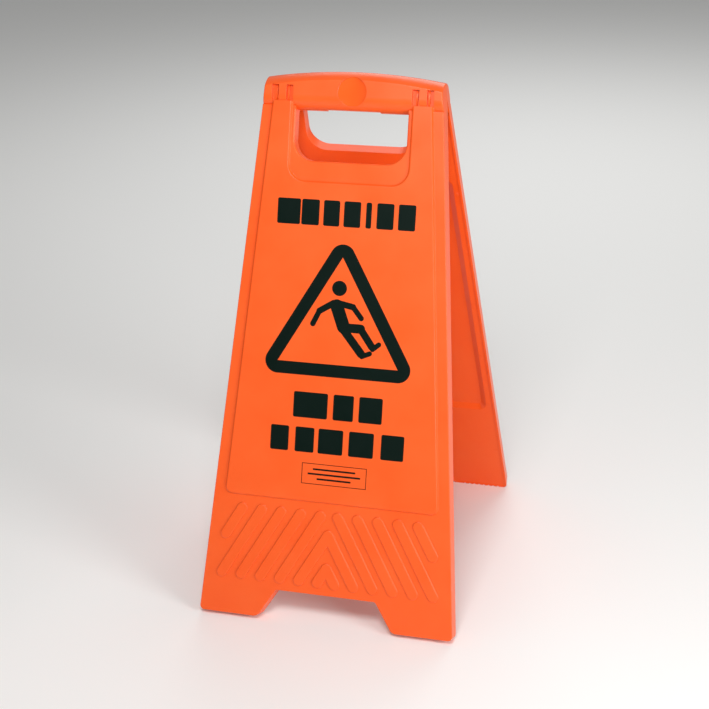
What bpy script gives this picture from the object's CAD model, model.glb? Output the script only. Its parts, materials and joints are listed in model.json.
import json
import math

import bpy
from mathutils import Matrix, Vector

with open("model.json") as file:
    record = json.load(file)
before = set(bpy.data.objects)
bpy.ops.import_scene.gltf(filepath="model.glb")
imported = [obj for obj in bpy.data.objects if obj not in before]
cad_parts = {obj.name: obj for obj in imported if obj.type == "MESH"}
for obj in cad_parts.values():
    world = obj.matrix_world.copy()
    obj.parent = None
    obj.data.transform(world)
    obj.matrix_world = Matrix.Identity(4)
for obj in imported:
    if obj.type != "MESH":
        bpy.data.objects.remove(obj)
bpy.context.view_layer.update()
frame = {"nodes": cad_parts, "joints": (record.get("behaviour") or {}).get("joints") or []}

bl_info = {
    "name": "Folding Floor Sign",
    "version": (1, 0, 0),
    "blender": (4, 5, 0),
    "location": "View3D > Sidebar > Floor Sign",
    "description": "Finishes and studio stage for a folding floor sign",
    "category": "Object",
}

HINGE = Vector(frame["joints"][0]["pos_m"])
LEAN = math.radians(frame["joints"][0]["range_deg"][1] / 2)
PANELS = ("front_panel", "rear_panel")
PINS = ("hinge_pin_left", "hinge_pin_right")
PRINTS = [name for name in frame["nodes"] if name not in PANELS + PINS]

# Round scoop in the outer face of each handle bar: how far its centre lies out of and above the hinge
# axis, its radius, and the width of the blend at its rim, in metres
SCOOP_DEPTH = 0.0175
SCOOP_RISE = 0.0033
SCOOP_RADIUS = 0.0165
SCOOP_BLEND = 0.0006

# Surfaces. A range runs from the smoother to the rougher patches, and heights are in metres.
PLASTIC_IOR = 1.49
INK_IOR = 1.5
SATIN_ROUGHNESS = (0.31, 0.37)
POLISHED_ROUGHNESS = 0.07
PIN_ROUGHNESS = (0.2, 0.28)
INK_ROUGHNESS = (0.42, 0.55)
NOISE_SPAN = (0.3, 0.7)
GRAIN_STRENGTH = 0.16
GRAIN_HEIGHT = 0.0001
WAVE_HEIGHT = 0.001

# Lights: target, azimuth and elevation in degrees, distance, and the lamp's width and height in metres
KEY_PLACE = ((0, -0.1, 0.50), 10, 42, 1.1, (0.4, 0.4))
FILL_PLACE = ((0, 0.05, 0.42), 58, 9, 1.8, (0.7, 0.7))
SPARK_PLACE = ((0, 0, HINGE.z), 14, 11, 2.2, (0.12, 0.3))
FLOOR_PLACE = ((0, 1.0, 0), 180, 65, 2.0, (1.6, 1.6))
FLOOR_WIDTH = 40

# Camera: target, azimuth and elevation, distance and roll, then its sensor and lens in millimetres
CAMERA_PLACE = ((-0.0086, 0, 0.2621), 15.111, 23.693, 1.76965, -1.276)
CAMERA_SENSOR = 36
CAMERA_LENS = 74.37
CAMERA_CLIP = (0.05, 30)


# ---------------------------------------------------------------- colour and nodes

def linear(code):
    """Linear colour from an sRGB hex value."""
    parts = [int(code[i:i + 2], 16) / 255 for i in (1, 3, 5)]
    return tuple(p / 12.92 if p <= 0.04045 else ((p + 0.055) / 1.055) ** 2.4 for p in parts)


def add_node(tree, kind, settings=None, inputs=None):
    """Add a node with its settings. An input is a value, or the socket that feeds it."""
    node = tree.nodes.new(kind)
    for key, value in (settings or {}).items():
        setattr(node, key, value)
    for key, value in (inputs or {}).items():
        if isinstance(value, bpy.types.NodeSocket):
            tree.links.new(value, node.inputs[key])
        else:
            node.inputs[key].default_value = value
    return node


def new_material(name):
    """A node material with only its output node."""
    material = bpy.data.materials.new(name)
    material.use_nodes = True
    tree = material.node_tree
    tree.nodes.clear()
    return material, tree, tree.nodes.new("ShaderNodeOutputMaterial")


def dress(names, material):
    """Give every slot of some CAD nodes one material."""
    for name in names:
        mesh = frame["nodes"][name].data
        mesh.materials.clear()
        mesh.materials.append(material)


def scoop_mask(tree, position):
    """Socket that is 1 inside the round scoop of either handle bar and 0 outside."""
    centre_height = HINGE.z + SCOOP_DEPTH * math.sin(LEAN) + SCOOP_RISE * math.cos(LEAN)
    split = add_node(tree, "ShaderNodeSeparateXYZ", inputs={"Vector": position})
    level = add_node(tree, "ShaderNodeMath", {"operation": "SUBTRACT"}, {
        0: split.outputs["Z"], 1: centre_height})
    along = add_node(tree, "ShaderNodeMath", {"operation": "DIVIDE"}, {
        0: level.outputs[0], 1: math.cos(LEAN)})
    flat = add_node(tree, "ShaderNodeCombineXYZ", inputs={"X": split.outputs["X"], "Y": along.outputs[0]})
    reach = add_node(tree, "ShaderNodeVectorMath", {"operation": "LENGTH"}, {0: flat.outputs["Vector"]})
    inside = add_node(tree, "ShaderNodeMapRange", inputs={
        "Value": reach.outputs["Value"], "From Min": SCOOP_RADIUS,
        "From Max": SCOOP_RADIUS - SCOOP_BLEND, "To Min": 0.0, "To Max": 1.0})
    return inside.outputs["Result"]


# ---------------------------------------------------------------- settings

class SignSettings(bpy.types.PropertyGroup):
    panel_colour: bpy.props.FloatVectorProperty(
        name="Panel colour", description="Base colour of the moulded panels", subtype="COLOR", size=3,
        min=0, max=1, default=linear("#F25410"))
    pale_colour: bpy.props.FloatVectorProperty(
        name="Pale colour", description="Slightly paler colour that the base colour drifts to",
        subtype="COLOR", size=3, min=0, max=1, default=linear("#F4611F"))
    ink_colour: bpy.props.FloatVectorProperty(
        name="Ink colour", description="Colour of the printed graphics", subtype="COLOR", size=3,
        min=0, max=1, default=linear("#00120C"))
    floor_colour: bpy.props.FloatVectorProperty(
        name="Floor colour", description="Colour of the floor", subtype="COLOR", size=3,
        min=0, max=1, default=linear("#F4F4F2"))
    grain: bpy.props.FloatProperty(
        name="Grain", description="Spacing of the moulded surface texture", default=0.0011,
        min=0.0002, max=0.01, unit="LENGTH", precision=4)
    flow: bpy.props.FloatProperty(
        name="Flow marks", description="Size of the faint waves and colour drift left by the moulding",
        default=0.045, min=0.005, max=0.5, unit="LENGTH", precision=3)
    edge_radius: bpy.props.FloatProperty(
        name="Edge softness", description="Radius of the moulded edges in the shading", default=0.0007,
        min=0, max=0.005, unit="LENGTH", precision=4)
    mesh_thread: bpy.props.FloatProperty(
        name="Screen mesh", description="Thread spacing of the screen that printed the ink", default=0.0006,
        min=0.0001, max=0.005, unit="LENGTH", precision=4)
    key_power: bpy.props.FloatProperty(
        name="Key light", description="Power of the main soft light", default=8.5, min=0, unit="POWER")
    fill_power: bpy.props.FloatProperty(
        name="Fill light", description="Power of the fill light", default=17.0, min=0, unit="POWER")
    floor_power: bpy.props.FloatProperty(
        name="Floor light", description="Power of the light on the floor behind",
        default=20.0, min=0, unit="POWER")
    spark_power: bpy.props.FloatProperty(
        name="Highlight light", description="Power of the narrow light that draws the highlights",
        default=4.0, min=0, unit="POWER")
    sky: bpy.props.FloatProperty(
        name="Surround", description="Brightness of the pale surround", default=0.3, min=0)


# ---------------------------------------------------------------- operators

class SIGN_OT_panels(bpy.types.Operator):
    """Dress both panels in moulded orange polypropylene"""
    bl_idname = "sign.panels"
    bl_label = "Panels"

    def execute(self, context):
        sizes = context.scene.floor_sign
        # Polypropylene, moulded in one colour against a finely sparked tool: satin, waxy highlights that
        # break up on the fine texture, and edges that catch the light. The scoop is a polished spot.
        material, tree, output = new_material("Moulded polypropylene orange")
        where = add_node(tree, "ShaderNodeTexCoord")
        polish = scoop_mask(tree, where.outputs["Object"])
        drift = add_node(tree, "ShaderNodeTexNoise", inputs={
            "Vector": where.outputs["Object"], "Scale": 1 / sizes.flow, "Detail": 3.0, "Roughness": 0.5})
        colour = add_node(tree, "ShaderNodeMix", {"data_type": "RGBA"}, {
            "Factor": drift.outputs["Fac"], "A": (*sizes.panel_colour, 1.0), "B": (*sizes.pale_colour, 1.0)})
        grain = add_node(tree, "ShaderNodeTexNoise", inputs={
            "Vector": where.outputs["Object"], "Scale": 1 / sizes.grain, "Detail": 2.0, "Roughness": 0.6})
        texture = add_node(tree, "ShaderNodeMapRange", inputs={
            "Value": polish, "From Min": 0.0, "From Max": 1.0, "To Min": GRAIN_STRENGTH, "To Max": 0.0})
        soft_edges = add_node(tree, "ShaderNodeBevel", {"samples": 4}, {"Radius": sizes.edge_radius})
        waves = add_node(tree, "ShaderNodeBump", inputs={
            "Height": drift.outputs["Fac"], "Strength": 0.05, "Distance": WAVE_HEIGHT,
            "Normal": soft_edges.outputs["Normal"]})
        bump = add_node(tree, "ShaderNodeBump", inputs={
            "Height": grain.outputs["Fac"], "Strength": texture.outputs["Result"],
            "Distance": GRAIN_HEIGHT, "Normal": waves.outputs["Normal"]})
        patchy = add_node(tree, "ShaderNodeMapRange", inputs={
            "Value": drift.outputs["Fac"], "From Min": NOISE_SPAN[0], "From Max": NOISE_SPAN[1],
            "To Min": SATIN_ROUGHNESS[0], "To Max": SATIN_ROUGHNESS[1]})
        gloss = add_node(tree, "ShaderNodeMix", {"data_type": "FLOAT"}, {
            "Factor": polish, "A": patchy.outputs["Result"], "B": POLISHED_ROUGHNESS})
        shader = add_node(tree, "ShaderNodeBsdfPrincipled", inputs={
            "Base Color": colour.outputs["Result"], "Roughness": gloss.outputs["Result"],
            "IOR": PLASTIC_IOR, "Normal": bump.outputs["Normal"]})
        tree.links.new(shader.outputs["BSDF"], output.inputs["Surface"])
        dress(PANELS, material)
        return {"FINISHED"}


class SIGN_OT_prints(bpy.types.Operator):
    """Dress the printed graphics in screen ink"""
    bl_idname = "sign.prints"
    bl_label = "Prints"

    def execute(self, context):
        sizes = context.scene.floor_sign
        # Dark green screen ink, laid through a woven mesh: nearly black, satin, with the faint weave of the
        # threads and a little unevenness where the squeegee left more or less of it.
        material, tree, output = new_material("Screen ink dark green")
        where = add_node(tree, "ShaderNodeTexCoord")
        weave = add_node(tree, "ShaderNodeTexVoronoi", inputs={
            "Vector": where.outputs["Object"], "Scale": 1 / sizes.mesh_thread, "Randomness": 0.2})
        lay = add_node(tree, "ShaderNodeTexNoise", inputs={
            "Vector": where.outputs["Object"], "Scale": 2 / sizes.flow, "Detail": 3.0, "Roughness": 0.6})
        gloss = add_node(tree, "ShaderNodeMapRange", inputs={
            "Value": lay.outputs["Fac"], "From Min": NOISE_SPAN[0], "From Max": NOISE_SPAN[1],
            "To Min": INK_ROUGHNESS[0], "To Max": INK_ROUGHNESS[1]})
        bump = add_node(tree, "ShaderNodeBump", inputs={
            "Height": weave.outputs["Distance"], "Strength": 0.06, "Distance": GRAIN_HEIGHT})
        shader = add_node(tree, "ShaderNodeBsdfPrincipled", inputs={
            "Base Color": (*sizes.ink_colour, 1.0), "Roughness": gloss.outputs["Result"],
            "IOR": INK_IOR, "Specular IOR Level": 0.12, "Normal": bump.outputs["Normal"]})
        tree.links.new(shader.outputs["BSDF"], output.inputs["Surface"])
        dress(PRINTS, material)
        return {"FINISHED"}


class SIGN_OT_pins(bpy.types.Operator):
    """Dress the hinge pins in smooth polypropylene"""
    bl_idname = "sign.pins"
    bl_label = "Hinge pins"

    def execute(self, context):
        sizes = context.scene.floor_sign
        # The same polypropylene from a turned, polished cavity: smoother than the panels, with faint
        # turning rings.
        material, tree, output = new_material("Smooth polypropylene orange")
        where = add_node(tree, "ShaderNodeTexCoord")
        rings = add_node(tree, "ShaderNodeTexWave", {"wave_type": "BANDS", "bands_direction": "X"}, {
            "Vector": where.outputs["Object"], "Scale": 0.3 / sizes.grain, "Distortion": 0.4})
        bump = add_node(tree, "ShaderNodeBump", inputs={
            "Height": rings.outputs["Fac"], "Strength": 0.05, "Distance": GRAIN_HEIGHT})
        gloss = add_node(tree, "ShaderNodeMapRange", inputs={
            "Value": rings.outputs["Fac"], "From Min": 0.0, "From Max": 1.0,
            "To Min": PIN_ROUGHNESS[0], "To Max": PIN_ROUGHNESS[1]})
        shader = add_node(tree, "ShaderNodeBsdfPrincipled", inputs={
            "Base Color": (*sizes.panel_colour, 1.0), "Roughness": gloss.outputs["Result"],
            "IOR": PLASTIC_IOR, "Normal": bump.outputs["Normal"]})
        tree.links.new(shader.outputs["BSDF"], output.inputs["Surface"])
        dress(PINS, material)
        return {"FINISHED"}


def look_at(target, azimuth, elevation, distance, roll):
    """World matrix of something that looks at a target from an angle round it, in degrees and metres."""
    turn, rise, tilt = math.radians(azimuth), math.radians(elevation), math.radians(roll)
    back = Vector((math.sin(turn) * math.cos(rise), -math.cos(turn) * math.cos(rise), math.sin(rise)))
    level = Vector((math.cos(turn), math.sin(turn), 0))
    upward = back.cross(level)
    side = level * math.cos(tilt) + upward * math.sin(tilt)
    rise_axis = upward * math.cos(tilt) - level * math.sin(tilt)
    matrix = Matrix((side, rise_axis, back)).transposed().to_4x4()
    matrix.translation = Vector(target) + back * distance
    return matrix


def soft_light(name, target, azimuth, elevation, distance, size, power):
    """Rectangular area light that faces a target."""
    data = bpy.data.lights.new(name, "AREA")
    data.shape = "RECTANGLE"
    data.size, data.size_y = size
    data.energy = power
    lamp = bpy.data.objects.new(name, data)
    bpy.context.scene.collection.objects.link(lamp)
    lamp.matrix_world = look_at(target, azimuth, elevation, distance, 0)


class SIGN_OT_stage(bpy.types.Operator):
    """Set the pale floor, the soft lights and the camera"""
    bl_idname = "sign.stage"
    bl_label = "Stage"

    def execute(self, context):
        scene = context.scene
        sizes = scene.floor_sign
        bpy.ops.object.select_all(action="DESELECT")
        bpy.ops.mesh.primitive_plane_add(size=FLOOR_WIDTH, location=(0, 0, 0))
        floor = context.object
        floor.name = "stage_floor"
        material, tree, output = new_material("Matt floor paint")
        shader = add_node(tree, "ShaderNodeBsdfPrincipled", inputs={
            "Base Color": (*sizes.floor_colour, 1.0), "Roughness": 0.9})
        tree.links.new(shader.outputs["BSDF"], output.inputs["Surface"])
        floor.data.materials.append(material)

        world = bpy.data.worlds.new("Pale surround")
        world.use_nodes = True
        world.node_tree.nodes["Background"].inputs["Color"].default_value = (1, 1, 1, 1)
        world.node_tree.nodes["Background"].inputs["Strength"].default_value = sizes.sky
        scene.world = world
        soft_light("key_light", *KEY_PLACE, sizes.key_power)
        soft_light("fill_light", *FILL_PLACE, sizes.fill_power)
        soft_light("spark_light", *SPARK_PLACE, sizes.spark_power)
        soft_light("floor_light", *FLOOR_PLACE, sizes.floor_power)

        data = bpy.data.cameras.new("camera")
        data.sensor_width = CAMERA_SENSOR
        data.lens = CAMERA_LENS
        data.clip_start, data.clip_end = CAMERA_CLIP
        camera = bpy.data.objects.new("camera", data)
        scene.collection.objects.link(camera)
        camera.matrix_world = look_at(*CAMERA_PLACE)
        scene.camera = camera
        scene.view_settings.view_transform = "Standard"
        return {"FINISHED"}


class SIGN_PT_sidebar(bpy.types.Panel):
    bl_idname = "SIGN_PT_sidebar"
    bl_label = "Floor Sign"
    bl_space_type = "VIEW_3D"
    bl_region_type = "UI"
    bl_category = "Floor Sign"

    def draw(self, context):
        sizes = context.scene.floor_sign
        for name in sizes.__annotations__:
            self.layout.prop(sizes, name)
        for operator in OPERATORS:
            self.layout.operator(operator.bl_idname)


OPERATORS = (SIGN_OT_panels, SIGN_OT_prints, SIGN_OT_pins, SIGN_OT_stage)
CLASSES = (SignSettings, *OPERATORS, SIGN_PT_sidebar)


def register():
    for item in CLASSES:
        bpy.utils.register_class(item)
    bpy.types.Scene.floor_sign = bpy.props.PointerProperty(type=SignSettings)


def unregister():
    del bpy.types.Scene.floor_sign
    for item in reversed(CLASSES):
        bpy.utils.unregister_class(item)


def main():
    register()
    bpy.ops.sign.panels()
    bpy.ops.sign.prints()
    bpy.ops.sign.pins()
    bpy.ops.sign.stage()


if __name__ == "__main__":
    main()
